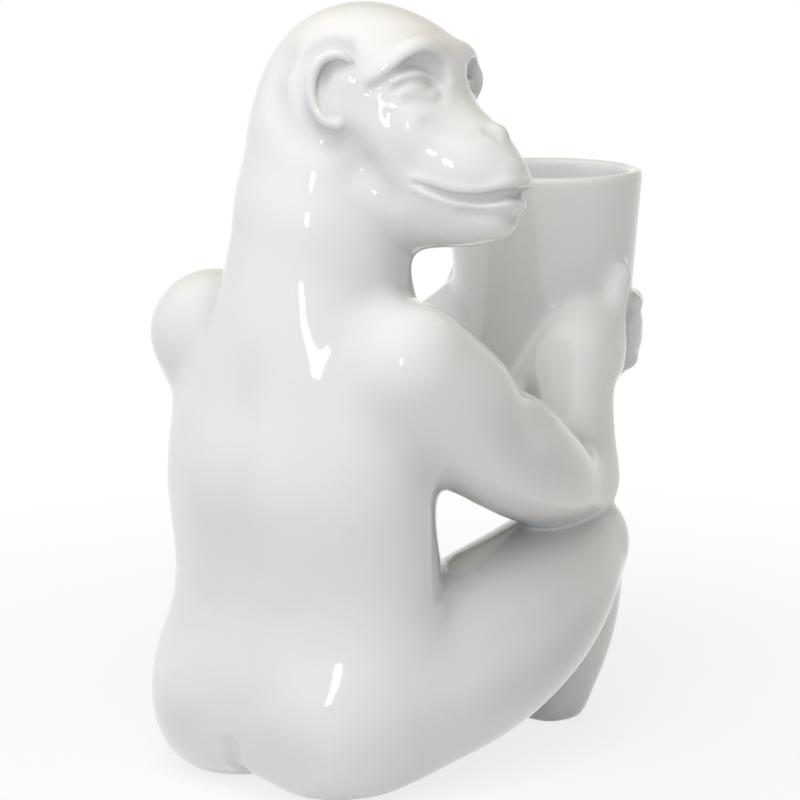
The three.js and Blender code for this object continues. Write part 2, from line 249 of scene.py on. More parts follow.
def limb(start, middle, end, ease=0.0):     # a smooth bend through three joints, each a place and a radius
    (a, ra), (m, rm), (c, rc) = [(np.asarray(p, float), r) for p, r in (start, middle, end)]
    b = 2 * m - (a + c) / 2
    rb = 2 * rm - (ra + rc) / 2
    biggest = max(ra, rm, rc)
    corners = np.array([a, m, c])
    first = 2 * (b - a)
    second = a - 2 * b + c

    def offsets(where, spot):
        return [a[i] + first[i] * where + second[i] * where * where - p for i, p in enumerate(spot)]

    def distance(x, y, z):
        best = np.full(np.broadcast(x, y, z).shape, np.inf, np.float32)
        where = np.zeros_like(best)
        for t in np.linspace(0, 1, bendSearch["places"]):
            p = (1 - t) ** 2 * a + 2 * t * (1 - t) * b + t * t * c
            gap = (x - p[0]) ** 2 + (y - p[1]) ** 2 + (z - p[2]) ** 2
            closer = gap < best
            best[closer] = gap[closer]
            where[closer] = t
        for turn in range(bendSearch["steps"]):     # Newton steps to the nearest place along the bend
            dx, dy, dz = offsets(where, (x, y, z))
            vx, vy, vz = [first[i] + 2 * second[i] * where for i in range(3)]
            slope = dx * vx + dy * vy + dz * vz
            bend = vx * vx + vy * vy + vz * vz + 2 * (dx * second[0] + dy * second[1] + dz * second[2])
            step = slope / np.maximum(bend, bendSearch["leastBend"])
            where = np.clip(where - step, 0, 1).astype(np.float32)
        dx, dy, dz = offsets(where, (x, y, z))
        if ease:        # the radius sets off level, so the rounded start meets it without a crease
            where = where - ease * (1 - np.exp(-where / ease))
        radius = (1 - where) ** 2 * ra + 2 * where * (1 - where) * rb + where * where * rc
        return np.sqrt(dx * dx + dy * dy + dz * dz) - radius
    return corners.min(0) - biggest, corners.max(0) + biggest, distance


sides = {"right": -1, "left": 1}
up = np.array([0.0, 0.0, 1.0])
clays = {}


def jointOf(form, name, side, out=0.0, rise=0.0):
    (aside, back, height), radius = form[name]
    return (side * (aside + out), back, height + rise), radius


# Torso: oval sections from the seat to the shoulders, each height, half width, half depth, middle.
torsoForm = {
    "sections": [(8, 60, 42, 3), (25, 62, 43, 3), (46, 64, 43, 1), (80, 61, 39.5, -1), (121, 61, 40.5, 2.5),
                 (158, 60, 37.5, -3), (188, 46, 32, -8), (205, 34, 28, -10)],
    "steps": 12,
    "swing": 8.0,       # how far the middles stray to the back
    "top": 200.0,
    "topRound": 36.0,
    "bottom": 8.0,
    "bottomRound": 20.0,
    "buttock": {"at": (25, 8, 28.5), "size": (36, 39, 34.5), "blend": 12.0},
    "belly": {"at": (0, -20, 84), "size": (44, 30, 46), "blend": 20.0},
    "breast": {"at": (22, -24, 152), "size": (24, 14, 20), "blend": 14.0},
    "spine": {"path": [(0, 40, 60), (0, 40, 100), (0, 38, 140), (0, 30, 172)], "width": 9.0, "depth": 1.0},
    "back": {"path": [(17, 40, 88), (17, 40, 112), (17, 38, 140), (18, 30, 166)],
             "width": 13.0, "depth": -2.2},
    "cleft": {"path": [(0, 48, 20), (0, 45, 12), (0, 40, 4), (0, 34, 0)], "width": 3.5, "depth": 2.6},
    "vent": {"radius": 3.5, "depth": 14.0, "at": (0, 3), "blend": 1.5},
}


def trunk(form):
    table = smoothRun(form["sections"], form["steps"])
    widest = table[:, 1].max()
    deepest = table[:, 2].max() + form["swing"]

    def distance(x, y, z):
        height = z.ravel()
        wide, deep, middle = [np.interp(height, table[:, 0], row).astype(np.float32) for row in table.T[1:]]
        u = x / wide
        v = (y - middle) / deep
        inner = np.sqrt(u * u + v * v)
        slope = np.sqrt((u / wide) ** 2 + (v / deep) ** 2)
        column = inner * (inner - 1) / np.maximum(slope, tiny)
        column = softMax(column, z - form["top"], form["topRound"])
        return softMax(column, form["bottom"] - z, form["bottomRound"])
    return np.array([-widest, -deepest, 0]), np.array([widest, deepest, form["top"]]), distance


column = trunk(torsoForm)
torso = clayOf(column)
for name in ("buttock", "belly", "breast"):
    lump = torsoForm[name]
    for side in ((-1, 1) if lump["at"][0] else (1,)):
        torso.add(ball(np.array(lump["at"]) * (side, 1, 1), lump["size"]), lump["blend"])
for name in ("spine", "cleft"):
    torso.crease(torsoForm[name]["path"], torsoForm[name])
for side in sides.values():
    torso.crease(np.array(torsoForm["back"]["path"]) * (side, 1, 1), torsoForm["back"])
clays["torso"] = torso
print("torso shaped")

# Head: forms in the head's own frame, forward, aside and up from its middle.
headForm = {
    "middle": (0.0, -27.6, 264.4),
    "turn": 84.0,
    "roll": 8.0,
    "neck": [((0, -7, 178), 39), ((0, -11, 212), 35), ((0, -20, 252), 34.2)],
    "neckEase": 0.12,
    "reach": {"rope": 12.0, "ridge": 8.0, "eye": 6.0},
    "lumps": {
        "cranium": {"at": (9, 0, 2), "size": (45, 36, 42), "blend": 14},
        "forehead": {"at": (26, 0, 16), "size": (21, 31, 21), "blend": 8},
        "jaw": {"at": (29, 0, -26), "size": (36, 27, 25), "blend": 14},
        "cheek": {"at": (34, 16, -8), "size": (20, 14, 19), "blend": 10},
    },
    "ropes": {
        "muzzle": {"path": [(42, 0, -14), (55, 0, -20.5), (69.2, 0, -23.5)],
                   "radii": [25, 23, 14.8], "blend": 10},
        "chin": {"path": [(44, 0, -27), (56, 0, -30), (68, 0, -33)], "radii": [22.5, 19.3, 13.6], "blend": 5},
        "bridge": {"path": [(42, 0, 16), (45, 0, 4), (55.5, 0, -6), (62.5, 0, -9.5)],
                   "radii": [8, 7.8, 8.2, 7.4], "blend": 7},
        "nose": {"path": [(60, 0, -6.5), (68.4, 0, -6.6)], "radii": [6, 6], "blend": 3},
    },
    "brow": {
        "path": [(42.5, 4, 23), (43, 13, 25), (41, 20.6, 23.8), (37, 26, 19), (31, 29.6, 12.6)],
        "radii": [4.6, 4.8, 4.4, 3.4, 2.0], "blend": 10,
    },
    "farRim": {"path": [(41.5, -20.5, 22.5), (42.6, -25, 18.8), (42.4, -26.6, 14), (40.3, -25.4, 7)],
               "radii": [2.6, 3.4, 3.2, 2.6], "blend": 4},
    "socket": {"at": (47.6, 18, 16.5), "size": (5.2, 11.5, 7.0), "turnOut": 28.0, "blend": 3},
    "arch": {
        "path": [(49, 8.5, 15), (48, 12, 20), (45.5, 18, 22.5), (41.5, 24, 19), (36, 28.5, 13), (31, 31, 9)],
        "width": 1.9, "depth": 1.5,
    },
    "eye": {"at": (35.8, 16.4, 9.4), "size": (11.2, 11.6, 10.6), "blend": 2.6},
    "mouth": {
        "path": [(49, 24, -25.8), (55.4, 21.4, -27.5), (62.4, 18, -29.2), (70, 14.4, -29.9),
                 (76.4, 12, -29.2), (81, 7.2, -27.5), (82.6, 0, -26.8)],
        "radii": [1.0, 1.4, 1.8, 2.2, 2.5, 2.5, 2.3], "blend": 0.8,
    },
    "neckFold": {"path": [(34, -8, 236), (16, 18, 233), (-10, 20, 227), (-30, 4, 220), (-36, -20, 212)],
                 "width": 12.0, "depth": -1.4},
    "lips": {
        "lipEdge": {"width": 1.6, "depth": -1.0, "path": [(49, 24.6, -23.8), (55.4, 22.2, -24.8),
            (62.4, 19, -26.2), (70, 15.2, -26.6), (76.8, 13, -25), (82, 8, -22.4), (84.4, 0, -21.4)]},
        "lowerEdge": {"width": 1.5, "depth": -1.3, "path": [(49, 24.4, -27.8), (55.2, 21.4, -29.8),
            (62.2, 18, -31.4), (68.4, 15.4, -32.2), (75, 12.4, -32.4), (80.4, 7.4, -31.6),
            (82.2, 0, -31.4)]},
    },
    "folds": {
        "lidEdge": {"width": 1.5, "depth": -1.2, "path": [(38.5, 26, 11.2), (41.8, 22.4, 13.6),
            (44.2, 18, 15), (46.2, 13.6, 15), (47, 10.8, 13)]},
        "lidSlit": {"width": 1.3, "depth": 2.6, "path": [(38.2, 26, 9.4), (41.6, 22.3, 11.6), (44, 18, 13),
            (46.2, 13.4, 13), (47, 10.6, 10.6)]},
        "eyeBag": {"width": 2.0, "depth": 1.2, "path": [(42, 22, 2.6), (45, 17.5, 1.6), (47.4, 12.6, 2.6),
            (48, 10, 6)]},
        "underLip": {"width": 2.2, "depth": 1.3, "path": [(66, 15.5, -35.6), (74, 11.6, -36),
            (79, 6.5, -36), (80.6, 0, -36)]},
        "cheekFold": {"width": 3.0, "depth": 0.7, "path": [(50, 21, -4), (58, 16.5, -6.6), (66, 11, -8.6)]},
        "nostril": {"width": 1.4, "depth": 1.5, "path": [(72, 4.6, -6.4), (70.6, 6.6, -5),
            (68.4, 7.6, -5.8)]},
        "faceEdge": {"width": 4.0, "depth": 0.8, "path": [(39, 27, -2), (42, 26, -12), (46, 25, -19)]},
        "earMoat": {"width": 4.0, "depth": 3.4, "path": [(17, 34, 24.5), (10, 34, 25), (3.2, 34, 20),
            (1.2, 35, 12.8), (4, 35, 1.8), (10.2, 34.5, -6.2)]},
        "nape": {"width": 7.0, "depth": 3.4, "path": [(-11.8, 30, 17), (-12, 31, 6), (-3, 33, -5),
            (6, 32.5, -10.5), (20, 31, -13.5), (27, 29, -20)]},
        "jawLine": {"width": 6.0, "depth": 1.8, "path": [(20, 31, -14), (27, 29, -21), (33, 26.5, -26),
            (40, 23, -31)]},
    },
}
bodyAngle = 270.0       # the body faces -Y
headAngle = bodyAngle - headForm["turn"]
headForward = np.array([math.cos(math.radians(headAngle)), math.sin(math.radians(headAngle)), 0.0])
headRight = np.array([headForward[1], -headForward[0], 0.0])
rollCos = math.cos(math.radians(headForm["roll"]))
rollSin = math.sin(math.radians(headForm["roll"]))
headAside = headRight * rollCos + np.array([0, 0, rollSin])
headUp = np.array([0, 0, rollCos]) - headRight * rollSin


def onHead(place, mirror=1):
    forward, aside, up = place
    return np.array(headForm["middle"]) + headForward * forward + headAside * aside * mirror + headUp * up


def headRun(line, mirror):
    return [onHead(place, mirror) for place in line["path"]]


def addRope(rope, mirror, reach):
    head.add(bead(headRun(rope, mirror), rope["radii"]), rope["blend"], headForm["reach"][reach])


neck = limb(*headForm["neck"], headForm["neckEase"])
reachOut = bead(headRun(headForm["ropes"]["muzzle"], 1), headForm["ropes"]["muzzle"]["radii"])
head = clayOf(neck, reachOut)
for lump in headForm["lumps"].values():
    for mirror in ((1, -1) if lump["at"][1] else (1,)):
        head.add(ball(onHead(lump["at"], mirror), lump["size"], headAngle), lump["blend"])
for rope in headForm["ropes"].values():
    addRope(rope, 1, "rope")
for mirror in (1, -1):
    addRope(headForm["brow"], mirror, "ridge")
socket = headForm["socket"]
eye = headForm["eye"]
mouth = headForm["mouth"]
for mirror in (1, -1):
    turned = headAngle - mirror * socket["turnOut"]
    head.carve(ball(onHead(socket["at"], mirror), socket["size"], turned), socket["blend"])
    head.crease(headRun(headForm["arch"], mirror), headForm["arch"])
    head.add(ball(onHead(eye["at"], mirror), eye["size"], headAngle), eye["blend"], headForm["reach"]["eye"])
    for line in headForm["lips"].values():
        head.crease(headRun(line, mirror), line)
    head.carve(bead(head.onSkin(headRun(mouth, mirror)), mouth["radii"]), mouth["blend"])
    for line in headForm["folds"].values():
        head.crease(headRun(line, mirror), line)
head.crease(headForm["neckFold"]["path"], headForm["neckFold"])
addRope(headForm["farRim"], 1, "ridge")
clays["head"] = head

earForm = {
    "shell": {"at": (16, 31.5, 7.5), "size": (10, 4.6, 13.5)},
    "blend": 2.5,
    "reach": 10.0,
    "hem": 3.0,     # how far round it the head's skin goes with the ear
    "helix": [(22.5, 34.6, 18.6), (18.5, 36.4, 20.6), (12.8, 37.6, 18.8), (9.2, 38.4, 13.5), (8.6, 38.4, 7),
              (10.2, 37.8, 1.2), (14, 36.4, -4), (19, 34.4, -6)],
    "radii": [1.4, 2.2, 2.6, 2.8, 2.8, 2.7, 2.7, 2.2],
    "bowl": {"path": [(20, 36, 15.8), (15.6, 37, 15.4), (13, 37, 12), (12.2, 37, 6.5), (13.6, 36.6, 1.2),
                      (17, 35.6, -1.8)],
             "width": 2.1, "depth": 2.0},
}
for label, side in sides.items():
    mirror = -side
    shell = ball(onHead(earForm["shell"]["at"], mirror), earForm["shell"]["size"], headAngle)
    ear = clayOf(shell, reach=earForm["reach"])
    helix = [onHead(place, mirror) for place in earForm["helix"]]
    ear.add(bead(helix, earForm["radii"]), earForm["blend"], earForm["reach"])
    ear.crease(headRun(earForm["bowl"], mirror), earForm["bowl"])
    clays[label + "_ear"] = ear
print("head and ears shaped")

# Legs. The left knee stands a little further out. The foot turns in, with its toes under the cup.
legForm = {
    "hip": ((33, -1, 36.2), 35.6),
    "thigh": ((50, -62, 53.2), 36.2),
    "knee": ((52.3, -114, 80.4), 23.2),
    "leftSplay": 10.0,
    "shin": ((52.5, -113.5, 77), 21),
    "calf": ((45, -124.2, 42), 19),
    "heel": ((39, -117, 12), 16.5),
    "foot": {"length": 27.0, "turnIn": 38.0, "height": 8.0, "spread": 5.0, "archAt": 0.5,
             "archLift": 2.0, "radii": (14, 12, 11.0), "blend": 8.0, "reach": 10.0},
    "toe": {"count": 4, "length": 12.0, "radius": 3.9, "spacing": 6.6, "rise": 7.4, "fan": 5.0, "drop": 2.5,
            "bow": 1.2, "blend": 2.2, "reach": 8.0},
    "bigToe": {"root": (-5.2, 12), "tip": (-15, 26), "radii": (5.6, 4.6), "rises": (7.8, 5.8), "blend": 4.0},
    "kneecap": {"at": (0, -8, 0), "size": (15, 13, 14), "blend": 12.0},
}
for label, side in sides.items():
    splay = legForm["leftSplay"] if side > 0 else 0.0
    knee = jointOf(legForm, "knee", side, splay)
    bone = limb(jointOf(legForm, "hip", side), jointOf(legForm, "thigh", side), knee)
    thigh = clayOf(bone)
    cap = legForm["kneecap"]
    thigh.add(ball(np.array(knee[0]) + cap["at"], cap["size"]), cap["blend"])
    clays[label + "_thigh"] = thigh

    heelJoint = jointOf(legForm, "heel", side)
    bone = limb(jointOf(legForm, "shin", side, splay), jointOf(legForm, "calf", side), heelJoint)
    shank = clayOf(bone)
    foot = legForm["foot"]
    turnIn = math.radians(foot["turnIn"])
    ahead = np.array([-side * math.sin(turnIn), -math.cos(turnIn), 0.0])
    across = np.array([side * math.cos(turnIn), -math.sin(turnIn), 0.0])    # towards the little toe
    heel = np.array(heelJoint[0])
    sole = heel * (1, 1, 0)
    front = sole + ahead * foot["length"]
    arch = sole + ahead * foot["length"] * foot["archAt"] + up * (foot["height"] + foot["archLift"])
    for way in (-1, 1):
        ballOfFoot = front + across * way * foot["spread"] + up * foot["height"]
        shank.add(bead([heel, arch, ballOfFoot], foot["radii"]), foot["blend"], foot["reach"])
    toe = legForm["toe"]
    for i in range(toe["count"]):
        place = i - (toe["count"] - 1) / 2
        fan = math.radians(toe["fan"] * place)
        root = front + across * place * toe["spacing"] + up * toe["rise"]
        out = ahead * math.cos(fan) + across * math.sin(fan)
        tip = root + out * (toe["length"] - abs(place)) - up * toe["drop"]
        middle = (root + tip) / 2 + up * toe["bow"]
        shank.add(bead([root, middle, tip], [toe["radius"]] * 3), toe["blend"], toe["reach"])
    big = legForm["bigToe"]
    run = [sole + across * place[0] + ahead * place[1] + up * rise
           for place, rise in zip((big["root"], big["tip"]), big["rises"])]
    shank.add(bead(run, big["radii"]), big["blend"], toe["reach"])
    clays[label + "_lower_leg"] = shank
print("legs shaped")

# Arms and hands. Places by the cup are a turn from the figure's side to its front, and a rise.
armForm = {
    "shoulder": ((50, -6, 169.5), 26),
    "upperArm": ((60, -56, 130), 24.9),
    "dip": {"path": [(50, -60, 162), (71, -52, 160), (83, -40, 148)], "width": 13.0, "depth": 3.5},
    "elbow": ((52, -113, 103), 15.5),
    "elbowTop": ((51, -118, 110), 16.2),
    "leftSplay": 10.0,
    "leftLift": 4.0,
    "leftOut": 2.0,
    "reach": {"palm": 14.0, "finger": 12.0},
    "forearm": ((48.5, -120.5, 124), 16.6),
    "wrist": {"turn": -37.0, "rise": 17.0, "off": 11.0, "radius": 14.6},
    "heelOfHand": {"turns": (-58.0, -48.0, -36.0), "rises": (1.0, 9.0, 18.0), "off": (0.0, 2.5, 5.0),
                   "radii": (11.0, 11.5, 12.0), "blend": 24.0},
    "palm": {"turn": -24.0, "rise": 20.5, "off": 3.0, "size": (10, 15, 20)},
    "knuckles": {"turn": 34.0, "rise": 23.0, "off": 0.0, "size": (6.4, 15, 15.0), "blend": 5.0},
    "fingers": {"count": 4, "first": 10.5, "spacing": 8.2, "turns": (26.0, 42.0, 56.0, 68.0),
                "off": (1.0, 1.4, 1.4, 1.0), "radii": (4.6, 4.7, 4.6, 4.3), "blend": 2.6},
    "thumb": {"turns": (-24.0, -13.0, -5.0, -1.0), "rises": (18.0, 33.0, 45.0, 50.8),
              "off": (6.0, 3.6, 2.6, 2.0), "radii": (10.5, 6.9, 4.6, 4.0), "blend": 7.0},
}


def byCup(side, turn, rise, off):
    radius = cupSize["foot"] + (cupSize["rim"] - cupSize["foot"]) * rise / cupSize["height"] + off
    angle = math.radians(turn)
    return np.array([side * math.cos(angle) * radius, -cupSize["forward"] - math.sin(angle) * radius,
                     cupSize["bottom"] + rise])


def cupRun(side, form):
    return [byCup(side, *row) for row in zip(form["turns"], form["rises"], form["off"])]


for label, side in sides.items():
    splay = armForm["leftSplay"] if side > 0 else 0.0
    lift = armForm["leftLift"] if side > 0 else 0.0
    out = armForm["leftOut"] if side > 0 else 0.0
    shoulder = jointOf(armForm, "shoulder", side, out, lift)
    bone = limb(shoulder, jointOf(armForm, "upperArm", side, out), jointOf(armForm, "elbow", side, splay))
    upperArm = clayOf(bone)
    dip = armForm["dip"]
    upperArm.crease(np.array(dip["path"]) * (side, 1, 1) + up * lift, dip)
    clays[label + "_upper_arm"] = upperArm

    wrist = armForm["wrist"]
    wristPoint = byCup(side, wrist["turn"], wrist["rise"], wrist["off"])
    elbow = jointOf(armForm, "elbowTop", side, splay)
    bone = limb(elbow, jointOf(armForm, "forearm", side), (wristPoint, wrist["radius"]))
    forearm = clayOf(bone)
    heel = armForm["heelOfHand"]
    forearm.add(bead(cupRun(side, heel), heel["radii"]), heel["blend"])
    clays[label + "_forearm"] = forearm

    palm = armForm["palm"]
    heart = ball(byCup(side, palm["turn"], palm["rise"], palm["off"]), palm["size"], -side * palm["turn"])
    tips = ball(byCup(side, armForm["fingers"]["turns"][-1], palm["rise"], 0), palm["size"])
    hand = clayOf(heart, tips, reach=armForm["reach"]["palm"])
    near = armForm["reach"]["finger"]
    thumb = armForm["thumb"]
    hand.add(bead(cupRun(side, thumb), thumb["radii"]), thumb["blend"], near)
    knuckles = armForm["knuckles"]
    place = byCup(side, knuckles["turn"], knuckles["rise"], knuckles["off"])
    hand.add(ball(place, knuckles["size"], -side * knuckles["turn"]), knuckles["blend"], near)
    fingers = armForm["fingers"]
    for i in range(fingers["count"]):
        rise = fingers["first"] + i * fingers["spacing"]
        run = [byCup(side, turn, rise, off) for turn, off in zip(fingers["turns"], fingers["off"])]
        hand.add(bead(run, fingers["radii"]), fingers["blend"], near)
    clays[label + "_hand"] = hand
print("arms and hands shaped")


# Cup: a turned wall that leans out to its rim. Its inside is cut once the hands are joined to it.
def leaning(x, y, z, foot):     # distance from a cone about the cup's axis
    lean = (cupSize["rim"] - cupSize["foot"]) / cupSize["height"]
    away = np.sqrt(x * x + (y + cupSize["forward"]) ** 2) - foot - lean * (z - cupSize["bottom"])
    return away / math.sqrt(1 + lean * lean)


def cupOutside(x, y, z):
    wall = softMax(leaning(x, y, z, cupSize["foot"]), cupSize["bottom"] - z, cupSize["footRound"])
    return softMax(wall, z - cupSize["bottom"] - cupSize["height"], cupSize["lip"])


def cupInside(x, y, z):
    wall = leaning(x, y, z, cupSize["foot"] - cupSize["wall"])
    return softMax(wall, cupSize["bottom"] + cupSize["floor"] - z, cupSize["floorRound"])


reach = np.array([cupSize["rim"], cupSize["rim"], 0.0])
base = np.array([0.0, -cupSize["forward"], cupSize["bottom"]])
wall = (base - reach, base + reach + (0, 0, cupSize["height"]), cupOutside)
clays["cup"] = clayOf(wall)
print("cup shaped")

# Each arm is one form from its shoulder to its hand before it meets the knee and the cup.
armBlends = {"forearm": 1.0, "hand": 18.0, "upper_arm": 22.0}
arms = {}
for label in sides:
    parts = [(clays[label + "_" + kind], blend) for kind, blend in armBlends.items()]
    arm = Clay(*[(gridLow + part.first * voxel, gridLow + part.last * voxel) for part, blend in parts])
    for part, blend in parts:
        inside = tuple(slice(a - o, b - o) for a, b, o in zip(part.first, part.last, arm.first))
        arm.dist[inside] = softMin(arm.dist[inside], part.dist, blend)
    arms[label] = arm

# Everything is joined softly, piece by piece: two blends, and how far forward each of them holds.
joints = {
    "torso": (1.0, 1.0, 30, 100),
    "head": (20.0, 20.0, 30, 100),
    "thigh": (13.0, 6.0, 30, 100),
    "lower_leg": (7.0, 7.0, 30, 100),
    "arm": (17.0, 3.5, 30, 100),
    "cup": (14.0, 3.5, 160, 188),
    "ear": (2.5, 2.5, 30, 100),
}


def formsOf(kind):
    if kind in clays:
        return [clays[kind]]
    return [arms[label] if kind == "arm" else clays[label + "_" + kind] for label in sides]


names = list(clays)
whole = np.full(gridShape, claySize["far"], np.float32)
nearest = np.full(gridShape, claySize["far"], np.float32)
owner = np.zeros(gridShape, np.uint8)
for index, clay in enumerate(clays.values()):
    window = clay.window()
    reached = clay.dist - (earForm["hem"] if names[index].endswith("ear") else 0.0)
    owner[window] = np.where(reached < nearest[window], index, owner[window])
    nearest[window] = np.minimum(reached, nearest[window])
for kind, (rootBlend, endBlend, rootAt, endAt) in joints.items():
    for clay in formsOf(kind):
        window = clay.window()
        x, y, z = coordinates(clay.first, clay.last)
        along = np.clip((-y - rootAt) / (endAt - rootAt), 0, 1)
        whole[window] = softMin(whole[window], clay.dist, rootBlend + (endBlend - rootBlend) * along)
x, y, z = coordinates(np.zeros(3, int), gridShape)
whole = softMax(whole, claySize["ground"] - z, claySize["groundRound"])
inside = clays["cup"].window()
hollowed = cupInside(*coordinates(clays["cup"].first, clays["cup"].last))
whole[inside] = softMax(whole[inside], -hollowed, cupSize["lip"])
owner[inside] = np.where(hollowed < claySize["hollowHem"] * voxel, names.index("cup"), owner[inside])
vent = torsoForm["vent"]
bore = np.sqrt((x - vent["at"][0]) ** 2 + (y - vent["at"][1]) ** 2) - vent["radius"]
whole = softMax(whole, -np.maximum(bore, z - vent["depth"]), vent["blend"])
for turn in range(claySize["soften"]):
    for axis in range(3):
        spread = np.pad(whole, [(1, 1) if i == axis else (0, 0) for i in range(3)], mode="edge")
        before = spread.take(np.arange(gridShape[axis]), axis)
        after = spread.take(np.arange(gridShape[axis]) + 2, axis)
        whole = (before + 2 * whole + after) / 4
print("clay joined")

# Skin: quads on the clay's surface, pulled onto it, with its slopes as normals.
band = claySize["band"] * voxel
volume = openvdb.FloatGrid(band)
volume.copyFromArray(np.clip(whole, -band, band).astype(np.float32))
points, triangles, quads = volume.convertToPolygons(0.0, 0.0)
points = points.astype(np.float64)
for turn in range(claySize["snap"]):
    points = toSurface(whole, points, claySize["snapSlope"])
normals = slopes(whole, points)
normals /= np.maximum(np.linalg.norm(normals, axis=1), tiny)[:, None]
# Hollows: how closely the clay closes in over each point of the skin, an occlusion mask that paints shade
# into hollows through the glaze colour.
hollow = np.zeros(len(points))
for reach in claySize["poolShadeReach"]:
    felt = np.clip(1 - sample(whole, points + normals * reach / voxel) / reach, 0, 1)
    hollow += felt / len(claySize["poolShadeReach"])
edge = np.zeros(len(points))
for move in np.eye(3) * claySize["edgeReach"] / voxel:
    bend = sample(whole, points + move) + sample(whole, points - move) - 2 * sample(whole, points)
    edge += bend / claySize["edgeReach"] ** 2
print("skin", len(points), "points", len(quads), "quads", len(triangles), "triangles")

# Each face belongs to the piece that is nearest, and small islands go to their neighbours.
centres = np.rint(points[quads].mean(1)).astype(int)
faceOwner = owner[centres[:, 0], centres[:, 1], centres[:, 2]].astype(int)
pairs = np.sort(np.stack([quads, np.roll(quads, -1, 1)], 2).reshape(-1, 2), 1)
faceOf = np.repeat(np.arange(len(quads)), 4)
keys = pairs[:, 0].astype(np.int64) * len(points) + pairs[:, 1]
sortedKeys = np.argsort(keys, kind="stable")
same = keys[sortedKeys][1:] == keys[sortedKeys][:-1]
faceA = faceOf[sortedKeys][:-1][same]
faceB = faceOf[sortedKeys][1:][same]


def islands(link):      # the lowest face number that each face can reach over its links
    lowest = np.arange(len(quads))
    a = faceA[link]
    b = faceB[link]
    while True:
        before = lowest.copy()
        np.minimum.at(lowest, a, lowest[b])
        np.minimum.at(lowest, b, lowest[a])
        lowest = lowest[lowest]
        if (before == lowest).all():
            return lowest


for turn in range(claySize["islandRounds"]):
    group = islands(faceOwner[faceA] == faceOwner[faceB])
    label, count = np.unique(group, return_counts=True)
    biggest = {}
    for g, c in zip(label, count):
        piece = faceOwner[g]
        if c > biggest.get(piece, (0, 0))[0]:
            biggest[piece] = (c, g)
    main = np.isin(group, [g for c, g in biggest.values()])
    if main.all():
        break
    heir = np.full(len(quads), -1)
    for a, b in ((faceA, faceB), (faceB, faceA)):
        stray = ~main[a] & main[b]
        heir[group[a[stray]]] = faceOwner[b[stray]]
    faceOwner = np.where(~main & (heir[group] >= 0), heir[group], faceOwner)
print("faces shared out,", int((~main).sum()), "left astray")


def inCupWall(spots):       # keeps a hidden end from coming out inside the cup
    x, y, z = (spots / mm - shift).T
    deep = np.maximum(cupSize["wall"] / 2 - leaning(x, y, z, cupSize["foot"] - cupSize["wall"]), 0)
    deep = np.where(z > cupSize["bottom"], deep, 0)
    away = np.maximum(np.hypot(x, y + cupSize["forward"]), 1.0)
    out = np.stack([x * deep / away, (y + cupSize["forward"]) * deep / away, 0 * z], 1)
    return spots + out * mm


def makePiece(name, faces):     # its share of the skin, closed by a ringed cap over each hidden end
    used, local = np.unique(faces, return_inverse=True)
    local = local.reshape(faces.shape)
    spots = (points[used] * voxel + gridLow + shift) * mm
    around = np.stack([local, np.roll(local, -1, 1)], 2).reshape(-1, 2)
    code = around[:, 0].astype(np.int64) * len(used) + around[:, 1]
    reverse = around[:, 1].astype(np.int64) * len(used) + around[:, 0]
    rim = around[~np.isin(code, reverse)]
    onward = {}
    for a, b in rim:
        onward.setdefault(int(a), []).append(int(b))
    caps = []
    extra = []
    while onward:
        start = next(iter(onward))
        loop = [start]
        while True:
            choices = onward[loop[-1]]
            following = choices.pop()
            if not choices:
                del onward[loop[-1]]
            if following == start:
                break
            loop.append(following)
        ring = spots[loop]
        spread = np.linalg.norm(ring - ring.mean(0), axis=1).mean()
        middle = ring.mean(0) - normals[used[loop]].mean(0) * spread * claySize["capSink"]
        outer = loop
        for share in claySize["capRings"]:
            inner = list(range(len(used) + len(extra), len(used) + len(extra) + len(loop)))
            extra += list(inCupWall(middle + (ring - middle) * share))
            around = zip(outer, outer[1:] + outer[:1], inner[1:] + inner[:1], inner)
            caps += [(b, a, d, c) for a, b, c, d in around]
            outer = inner
        centre = len(used) + len(extra)
        extra += list(inCupWall(middle[None]))
        caps += [(b, a, centre) for a, b in zip(outer, outer[1:] + outer[:1])]
    mesh = bpy.data.meshes.new(name)
    mesh.from_pydata(np.vstack([spots] + ([extra] if extra else [])).tolist(), [], local.tolist() + caps)
    mesh.polygons.foreach_set("use_smooth", np.ones(len(mesh.polygons), bool))
    # glazeHollow carries the painted shade for hollows; glazeEdge carries where the glaze runs thin over
    # edges.
    for key, values in (("glazeHollow", hollow), ("glazeEdge", edge)):
        attribute = mesh.attributes.new(key, "FLOAT", "POINT")
        values = np.concatenate([values[used], np.zeros(len(extra))])
        attribute.data.foreach_set("value", values.astype(np.float32))
    out = np.vstack([normals[used], np.tile((0.0, 0.0, 1.0), (len(extra), 1))])
    mesh.normals_split_custom_set_from_vertices(out.tolist())
    piece = bpy.data.objects.new(name, mesh)
    bpy.context.scene.collection.objects.link(piece)
    return piece


glazed = []
for index, name in enumerate(names):
    piece = makePiece(name + "_glazed", quads[faceOwner == index])
    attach(piece, "root")
    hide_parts(name)
    glazed.append(piece)
    print(name, len(piece.data.polygons), "faces")


# Helpers for node trees.
def newGroup(name, kind, inputs, outputs):
    group = bpy.data.node_groups.new(name, kind)
    for way, sockets in (("INPUT", inputs), ("OUTPUT", outputs)):
        for title, socket in sockets.items():
            group.interface.new_socket(title, in_out=way, socket_type="NodeSocket" + socket)
    return group, group.nodes.new("NodeGroupInput").outputs, group.nodes.new("NodeGroupOutput")


def feed(node, values):     # sets a node's inputs, and links those that get another node's output
    for key, value in values.items():
        if isinstance(value, bpy.types.NodeSocket):
            node.id_data.links.new(value, node.inputs[key])
        else:
            node.inputs[key].default_value = value


def addNode(tree, kind, settings=None, values=None):
    node = tree.nodes.new(kind)
    for key, value in (settings or {}).items():
        setattr(node, key, value)
    feed(node, values or {})
    return node


def mathNode(tree, operation, a, b, clamp=False):
    settings = {"operation": operation, "use_clamp": clamp}
    return addNode(tree, "ShaderNodeMath", settings, {0: a, 1: b}).outputs[0]


